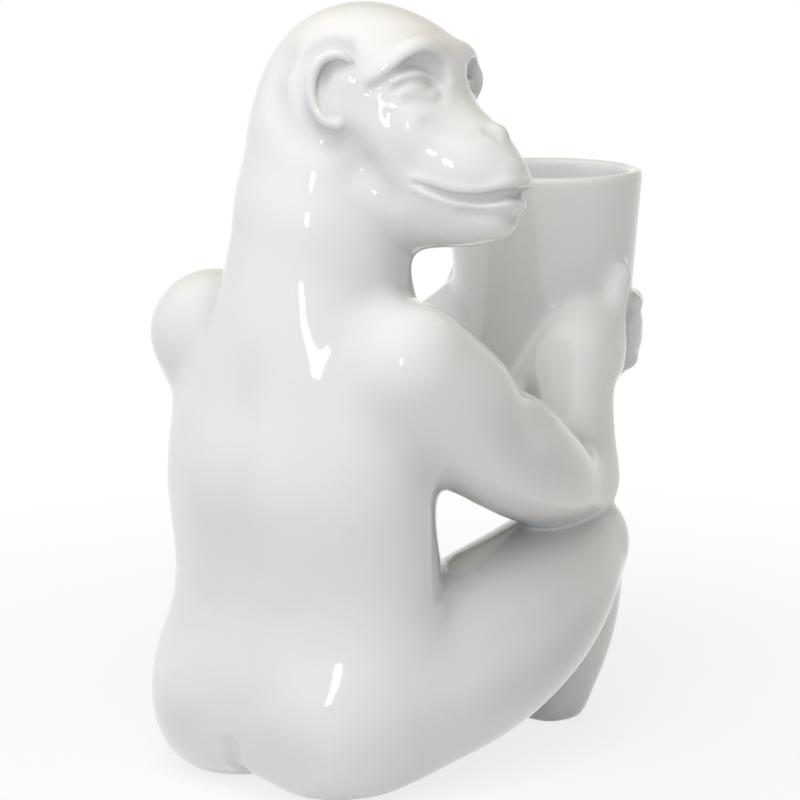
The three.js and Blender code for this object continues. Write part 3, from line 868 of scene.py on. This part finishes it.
def mixColour(tree, factor, a, b):
    values = {"Factor_Float": factor, "A_Color": a, "B_Color": b}
    node = addNode(tree, "ShaderNodeMix", {"data_type": "RGBA"})
    places = {socket.identifier: i for i, socket in enumerate(node.inputs)}
    feed(node, {places[key]: value for key, value in values.items()})
    return [socket for socket in node.outputs if socket.identifier == "Result_Color"][0]


def newMaterial(name):
    material = bpy.data.materials.new(name)
    material.use_nodes = True
    return material, material.node_tree, material.node_tree.nodes["Principled BSDF"]


def runTree(piece, group, values):      # fills in the tree's inputs, makes the result the piece's own mesh
    modifier = piece.modifiers.new(group.name, "NODES")
    modifier.node_group = group
    for item in group.interface.items_tree:
        if item.item_type == "SOCKET" and item.in_out == "INPUT" and item.name in values:
            modifier[item.identifier] = values[item.name]
    result = piece.evaluated_get(bpy.context.evaluated_depsgraph_get())
    mesh = bpy.data.meshes.new_from_object(result)
    piece.modifiers.remove(modifier)
    piece.data = mesh


# Glaze: white, with painted shade greying its hollows along with a slight tint of pooled glaze, warmer where
# it runs thin over edges, bare at the foot.
glazeLook = {
    "Body": (0.80, 0.80, 0.795, 1.0),
    # The grey for hollows is painted shade, with a slight tint of pooled glaze.
    "PoolShade": (0.52, 0.525, 0.53, 1.0),
    "Thin": (0.82, 0.815, 0.80, 1.0),
    "bare": (0.70, 0.66, 0.58, 1.0),
    "poolShadeShare": 0.9,
    "thinShare": 1.4,
    "cloud": {"Scale": 34.0, "Detail": 3.0},
    "wave": {"Scale": 62.0, "Detail": 1.0},
    "peel": {"Scale": 520.0, "Detail": 2.0},
    "cloudShare": 0.05,
    "peelShare": 0.06,
    "waveDepth": 0.00022,
    "rough": 0.055,
    "roughSpread": 0.05,
    "bareBelow": 0.0026,
    "bareRagged": 0.0016,
    "bareFade": 0.0004,
    "bareRough": 0.6,
    "coat": 0.5,
    "coatRough": 0.03,
    "ior": 1.5,
}


def glazeGroup():
    inputs = {"Body": "Color", "PoolShade": "Color", "Thin": "Color", "Hollow": "Float", "Edge": "Float",
              "Place": "Vector"}
    outputs = {"Color": "Color", "Roughness": "Float", "Height": "Float", "Bare": "Float"}
    group, given, end = newGroup("glazeSurface", "ShaderNodeTree", inputs, outputs)
    noises = {}
    for name in ("cloud", "wave", "peel"):
        values = {**glazeLook[name], "Vector": given["Place"]}
        noises[name] = addNode(group, "ShaderNodeTexNoise", values=values).outputs[0]
    # Hollows are mixed towards the grey: painted shade, with a slight tint of pooled glaze.
    pooledShade = mathNode(group, "MULTIPLY", given["Hollow"], glazeLook["poolShadeShare"], True)
    thinned = mathNode(group, "MULTIPLY", given["Edge"], glazeLook["thinShare"], True)
    colour = mixColour(group, pooledShade, given["Body"], given["PoolShade"])
    colour = mixColour(group, thinned, colour, given["Thin"])
    drift = mathNode(group, "SUBTRACT", noises["cloud"], 0.5)
    drift = mathNode(group, "MULTIPLY", drift, glazeLook["cloudShare"])
    values = {"Color": colour, "Value": mathNode(group, "ADD", drift, 1.0)}
    shade = addNode(group, "ShaderNodeHueSaturation", values=values)
    rough = mathNode(group, "MULTIPLY", noises["cloud"], glazeLook["roughSpread"])
    fine = mathNode(group, "MULTIPLY", noises["peel"], glazeLook["peelShare"])
    height = addNode(group, "ShaderNodeSeparateXYZ", values={0: given["Place"]}).outputs["Z"]
    ragged = mathNode(group, "MULTIPLY", noises["cloud"], glazeLook["bareRagged"])
    under = mathNode(group, "SUBTRACT", glazeLook["bareBelow"], mathNode(group, "ADD", height, ragged))
    feed(end, {
        "Color": shade.outputs[0],
        "Roughness": mathNode(group, "ADD", rough, glazeLook["rough"]),
        "Height": mathNode(group, "ADD", noises["wave"], fine),
        "Bare": mathNode(group, "DIVIDE", under, glazeLook["bareFade"], True),
    })
    return group


def glazeMaterial():
    material, tree, principled = newMaterial("figureGlaze")
    values = {title: glazeLook[title] for title in ("Body", "PoolShade", "Thin")}
    for title in ("Hollow", "Edge"):
        attribute = addNode(tree, "ShaderNodeAttribute", {"attribute_name": "glaze" + title})
        values[title] = attribute.outputs["Fac"]
    values["Place"] = addNode(tree, "ShaderNodeTexCoord").outputs["Object"]
    surface = addNode(tree, "ShaderNodeGroup", {"node_tree": glazeGroup()}, values).outputs
    bare = surface["Bare"]
    matt = mathNode(tree, "MULTIPLY", bare, glazeLook["bareRough"])
    uncoated = mathNode(tree, "MULTIPLY", bare, glazeLook["coat"])
    values = {"Strength": 1.0, "Distance": glazeLook["waveDepth"], "Height": surface["Height"]}
    feed(principled, {
        "Base Color": mixColour(tree, bare, surface["Color"], glazeLook["bare"]),
        "Roughness": mathNode(tree, "ADD", surface["Roughness"], matt),
        "Coat Weight": mathNode(tree, "SUBTRACT", glazeLook["coat"], uncoated),
        "Coat Roughness": glazeLook["coatRough"],
        "IOR": glazeLook["ior"],
        "Normal": addNode(tree, "ShaderNodeBump", values=values).outputs[0],
    })
    return material


figureGlaze = glazeMaterial()
for piece in glazed:
    piece.data.materials.append(figureGlaze)

# Felt pads under the seat and heels: a soft disc with loose fibres.
padForm = {"radius": 9.0, "thick": 1.0, "round": 0.3, "roundSteps": 9, "around": 64, "ring": 0.5}
fibreForm = {"Fibres": 2600000.0, "Length": 0.0016, "Fibre Radius": 0.00003, "Seed": 7}
fibreBend = {
    "Start": (-0.5, -0.12),     # shares of the fibre's length, along and aside
    "Middle": (0.0, 0.2),
    "End": (0.5, -0.08),
}
fibreMesh = {"steps": 5, "sides": 4, "tilt": 0.12, "lowest": (-1.0, -1.0, 0.0)}
feltLook = {"colour": (0.62, 0.60, 0.55, 1.0), "shade": (0.44, 0.425, 0.385, 1.0),
            "noise": {"Scale": 900.0, "Detail": 4.0}, "rough": 0.95, "sheen": 0.3, "depth": 0.0002}


def feltMaterial():
    material, tree, principled = newMaterial("padFelt")
    place = addNode(tree, "ShaderNodeTexCoord").outputs["Object"]
    noise = addNode(tree, "ShaderNodeTexNoise", values={**feltLook["noise"], "Vector": place}).outputs[0]
    values = {"Strength": 1.0, "Distance": feltLook["depth"], "Height": noise}
    feed(principled, {
        "Base Color": mixColour(tree, noise, feltLook["shade"], feltLook["colour"]),
        "Roughness": feltLook["rough"],
        "Sheen Weight": feltLook["sheen"],
        "Normal": addNode(tree, "ShaderNodeBump", values=values).outputs[0],
    })
    return material


def fibreTree():
    inputs = {"Geometry": "Geometry", "Fibres": "Float", "Length": "Float", "Fibre Radius": "Float",
              "Seed": "Int", "Material": "Material"}
    group, given, end = newGroup("feltFibres", "GeometryNodeTree", inputs, {"Geometry": "Geometry"})

    def add(kind, values, **settings):
        return addNode(group, kind, settings, values).outputs

    values = {"Mesh": given["Geometry"], "Density": given["Fibres"], "Seed": given["Seed"]}
    spots = add("GeometryNodeDistributePointsOnFaces", values, distribute_method="RANDOM")
    bends = {}
    for title, shares in fibreBend.items():
        run = {axis: mathNode(group, "MULTIPLY", given["Length"], share) for axis, share in zip("XY", shares)}
        bends[title] = add("ShaderNodeCombineXYZ", run)[0]
    hair = add("GeometryNodeCurveQuadraticBezier", {"Resolution": fibreMesh["steps"], **bends})
    values = {"Resolution": fibreMesh["sides"], "Radius": given["Fibre Radius"]}
    ring = add("GeometryNodeCurvePrimitiveCircle", values)
    values = {"Curve": hair[0], "Profile Curve": ring[0], "Fill Caps": True}
    tube = add("GeometryNodeCurveToMesh", values)
    tilt = fibreMesh["tilt"]
    values = {0: (-tilt, -tilt, 0.0), 1: (tilt, tilt, 2 * math.pi), "Seed": given["Seed"]}
    spin = add("FunctionNodeRandomValue", values, data_type="FLOAT_VECTOR")
    values = {"Points": spots["Points"], "Instance": tube[0], "Rotation": spin[0]}
    placed = add("GeometryNodeInstanceOnPoints", values)
    both = addNode(group, "GeometryNodeJoinGeometry")
    for part in (given["Geometry"], placed[0]):
        feed(both, {0: part})
    real = add("GeometryNodeRealizeInstances", {0: both.outputs[0]})
    place = add("GeometryNodeInputPosition", {})
    above = add("ShaderNodeVectorMath", {0: place[0], 1: fibreMesh["lowest"]}, operation="MAXIMUM")
    moved = add("GeometryNodeSetPosition", {"Geometry": real[0], "Position": above[0]})
    finish = add("GeometryNodeSetMaterial", {"Geometry": moved[0], "Material": given["Material"]})
    feed(end, {0: finish[0]})
    return group


def padMesh(name):
    radius = padForm["radius"] * mm
    thick = padForm["thick"] * mm
    edgeRound = padForm["round"] * mm
    angles = np.radians(np.linspace(-90, 90, padForm["roundSteps"]))
    rings = [(radius - edgeRound + edgeRound * math.cos(a),
              thick / 2 + math.copysign(thick / 2 - edgeRound, a) + edgeRound * math.sin(a)) for a in angles]
    rings = [(radius * padForm["ring"], 0)] + rings + [(radius * padForm["ring"], thick)]
    count = padForm["around"]
    turns = np.linspace(0, 2 * math.pi, count, endpoint=False)
    spots = [(r * math.cos(t), r * math.sin(t), z) for r, z in rings for t in turns]
    here = np.arange(count)
    onward = (here + 1) % count
    faces = []
    for low in np.arange(len(rings) - 1) * count:
        faces += np.stack([low + here, low + onward, low + count + onward, low + count + here], 1).tolist()
    last = (len(rings) - 1) * count
    under = len(spots)
    spots += [(0, 0, 0), (0, 0, thick)]
    faces += [(under, b, a) for a, b in zip(here.tolist(), onward.tolist())]
    faces += [(under + 1, last + a, last + b) for a, b in zip(here.tolist(), onward.tolist())]
    mesh = bpy.data.meshes.new(name)
    mesh.from_pydata(spots, [], faces)
    return mesh


padFelt = feltMaterial()
fibres = fibreTree()
for label in sides:
    for kind in ("seat_pad", "foot_pad"):
        node = label + "_" + kind
        padLow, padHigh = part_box(node)
        pad = bpy.data.objects.new(node + "_felt", padMesh(node + "_felt"))
        bpy.context.scene.collection.objects.link(pad)
        runTree(pad, fibres, {**fibreForm, "Material": padFelt})
        pad.data.transform(Matrix.Translation(((padLow.x + padHigh.x) / 2, (padLow.y + padHigh.y) / 2, 0)))
        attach(pad, "root")
        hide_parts(node)
print("pads felted")

# Stage: a white floor that keeps the shadow, and a white room.
stageLook = {"floorSize": 40.0, "floor": (0.86, 0.86, 0.86, 1.0), "rough": 0.9, "floorGlow": 0.8,
             "fade": (0.1, 0.5), "white": (1.0, 1.0, 1.0, 1.0)}
floorMesh = bpy.data.meshes.new("floor")
half = stageLook["floorSize"] / 2
corners = [(-half, -half, 0), (half, -half, 0), (half, half, 0), (-half, half, 0)]
floorMesh.from_pydata(corners, [], [(0, 1, 2, 3)])
floor = bpy.data.objects.new("floor", floorMesh)
bpy.context.scene.collection.objects.link(floor)


def fadeNode(tree, value, near, far, atNear, atFar):
    values = {"Value": value, "From Min": near, "From Max": far, "To Min": atNear, "To Max": atFar}
    return addNode(tree, "ShaderNodeMapRange", {"interpolation_type": "SMOOTHSTEP"}, values).outputs[0]


floorMaterial, tree, principled = newMaterial("paperFloor")
look = {"Base Color": stageLook["floor"], "Roughness": stageLook["rough"], "Specular IOR Level": 0.0}
feed(principled, look)
path = addNode(tree, "ShaderNodeLightPath").outputs
place = addNode(tree, "ShaderNodeTexCoord").outputs["Object"]
away = addNode(tree, "ShaderNodeVectorMath", {"operation": "LENGTH"}, {0: place}).outputs["Value"]
seen = mathNode(tree, "ADD", path["Is Camera Ray"], path["Is Glossy Ray"], True)
fade = fadeNode(tree, away, *stageLook["fade"], stageLook["floorGlow"], 1.0)
share = mathNode(tree, "MULTIPLY", seen, fade)
glow = addNode(tree, "ShaderNodeEmission", values={"Strength": 1.0})
mixed = addNode(tree, "ShaderNodeMixShader", None, {0: share, 1: principled.outputs[0], 2: glow.outputs[0]})
feed(tree.nodes["Material Output"], {"Surface": mixed.outputs[0]})
floorMesh.materials.append(floorMaterial)

# Camera and light, with each light's turn taken from the camera, as the photograph shows.
view = {"from": (-0.6889, 0.8999, 0.368), "toward": (-0.0118, 0.0331, 0.15), "pitch": 11.4, "lens": 123.75}
sweepTop = 0.6      # how high the white floor sweeps up behind, as the glaze mirrors it
lamps = {
    "flash": {"turn": -18.0, "height": 0.80, "away": 1.5, "size": (0.11, 0.26), "power": 1.5,
              "mirrored": True, "colour": (1.0, 1.0, 1.0)},
    "top": {"turn": -20.0, "height": 0.9, "away": 0.3, "size": (0.5, 0.5), "power": 3.1,
            "mirrored": False, "colour": (1.0, 0.965, 0.89)},
}
glows = {       # turn, rise, sharpness and colour
    "above": (0.0, 90.0, 1.0, (0.12, 0.095, 0.045)),
    "window": (-70.0, 35.0, 2.0, (0.21, 0.245, 0.32)),
    "left": (-80.0, 0.0, 2.0, (0.27, 0.295, 0.325)),
    "farLeft": (-130.0, 20.0, 2.0, (0.22, 0.205, 0.14)),
    "front": (-10.0, 25.0, 2.0, (0.445, 0.47, 0.55)),
    "frontHigh": (-10.0, 60.0, 4.0, (0.26, 0.265, 0.285)),
    "frontLow": (0.0, -10.0, 2.0, (0.16, 0.18, 0.23)),
    "behind": (180.0, 30.0, 2.0, (0.28, 0.25, 0.16)),
    "rightHigh": (60.0, 60.0, 4.0, (0.11, 0.09, 0.035)),
}
target = Vector(view["toward"])
cameraAngle = math.atan2(view["from"][1] - target.y, view["from"][0] - target.x)
for name, lamp in lamps.items():
    light = bpy.data.lights.new(name, "AREA")
    light.shape = "RECTANGLE"
    light.size, light.size_y = lamp["size"]
    light.energy = lamp["power"]
    light.color = lamp["colour"]
    holder = bpy.data.objects.new(name, light)
    angle = cameraAngle + math.radians(lamp["turn"])
    holder.location = target + Vector((math.cos(angle) * lamp["away"], math.sin(angle) * lamp["away"],
                                       lamp["height"] - target.z))
    holder.rotation_euler = (target - holder.location).to_track_quat("-Z", "Y").to_euler()
    holder.visible_glossy = lamp["mirrored"]
    bpy.context.scene.collection.objects.link(holder)

world = bpy.data.worlds.new("whiteRoom")        # white to the camera, soft glows for the figure
bpy.context.scene.world = world
world.use_nodes = True
tree = world.node_tree
facing = addNode(tree, "ShaderNodeTexCoord").outputs["Generated"]
total = None
for turn, rise, sharp, colour in glows.values():
    angle = cameraAngle + math.radians(turn)
    rise = math.radians(rise)
    way = (math.cos(angle) * math.cos(rise), math.sin(angle) * math.cos(rise), math.sin(rise))
    toGlow = addNode(tree, "ShaderNodeVectorMath", {"operation": "DOT_PRODUCT"}, {0: facing, 1: way})
    share = mathNode(tree, "POWER", mathNode(tree, "MAXIMUM", toGlow.outputs["Value"], 0.0), sharp)
    values = {0: colour, "Scale": share}
    tinted = addNode(tree, "ShaderNodeVectorMath", {"operation": "SCALE"}, values).outputs[0]
    if total is None:
        total = tinted
    else:
        total = addNode(tree, "ShaderNodeVectorMath", {"operation": "ADD"}, {0: total, 1: tinted}).outputs[0]
path = addNode(tree, "ShaderNodeLightPath").outputs
height = addNode(tree, "ShaderNodeSeparateXYZ", None, {0: facing}).outputs["Z"]
sweep = fadeNode(tree, height, 0.0, sweepTop, 1.0, 0.0)
mirrored = mathNode(tree, "MULTIPLY", path["Is Glossy Ray"], sweep)
seen = mathNode(tree, "ADD", path["Is Camera Ray"], mirrored, True)
feed(tree.nodes["Background"], {"Color": mixColour(tree, seen, total, stageLook["white"])})

camera = bpy.data.objects.new("camera", bpy.data.cameras.new("camera"))
camera.data.lens = view["lens"]
camera.location = view["from"]
level = ((target - camera.location) * Vector((1, 1, 0))).normalized()
pitch = math.radians(view["pitch"])
look = level * math.cos(pitch) - Vector((0, 0, math.sin(pitch)))
camera.rotation_euler = look.to_track_quat("-Z", "Y").to_euler()
bpy.context.scene.collection.objects.link(camera)
bpy.context.scene.camera = camera
bpy.context.scene.view_settings.view_transform = "Standard"
print("stage set")
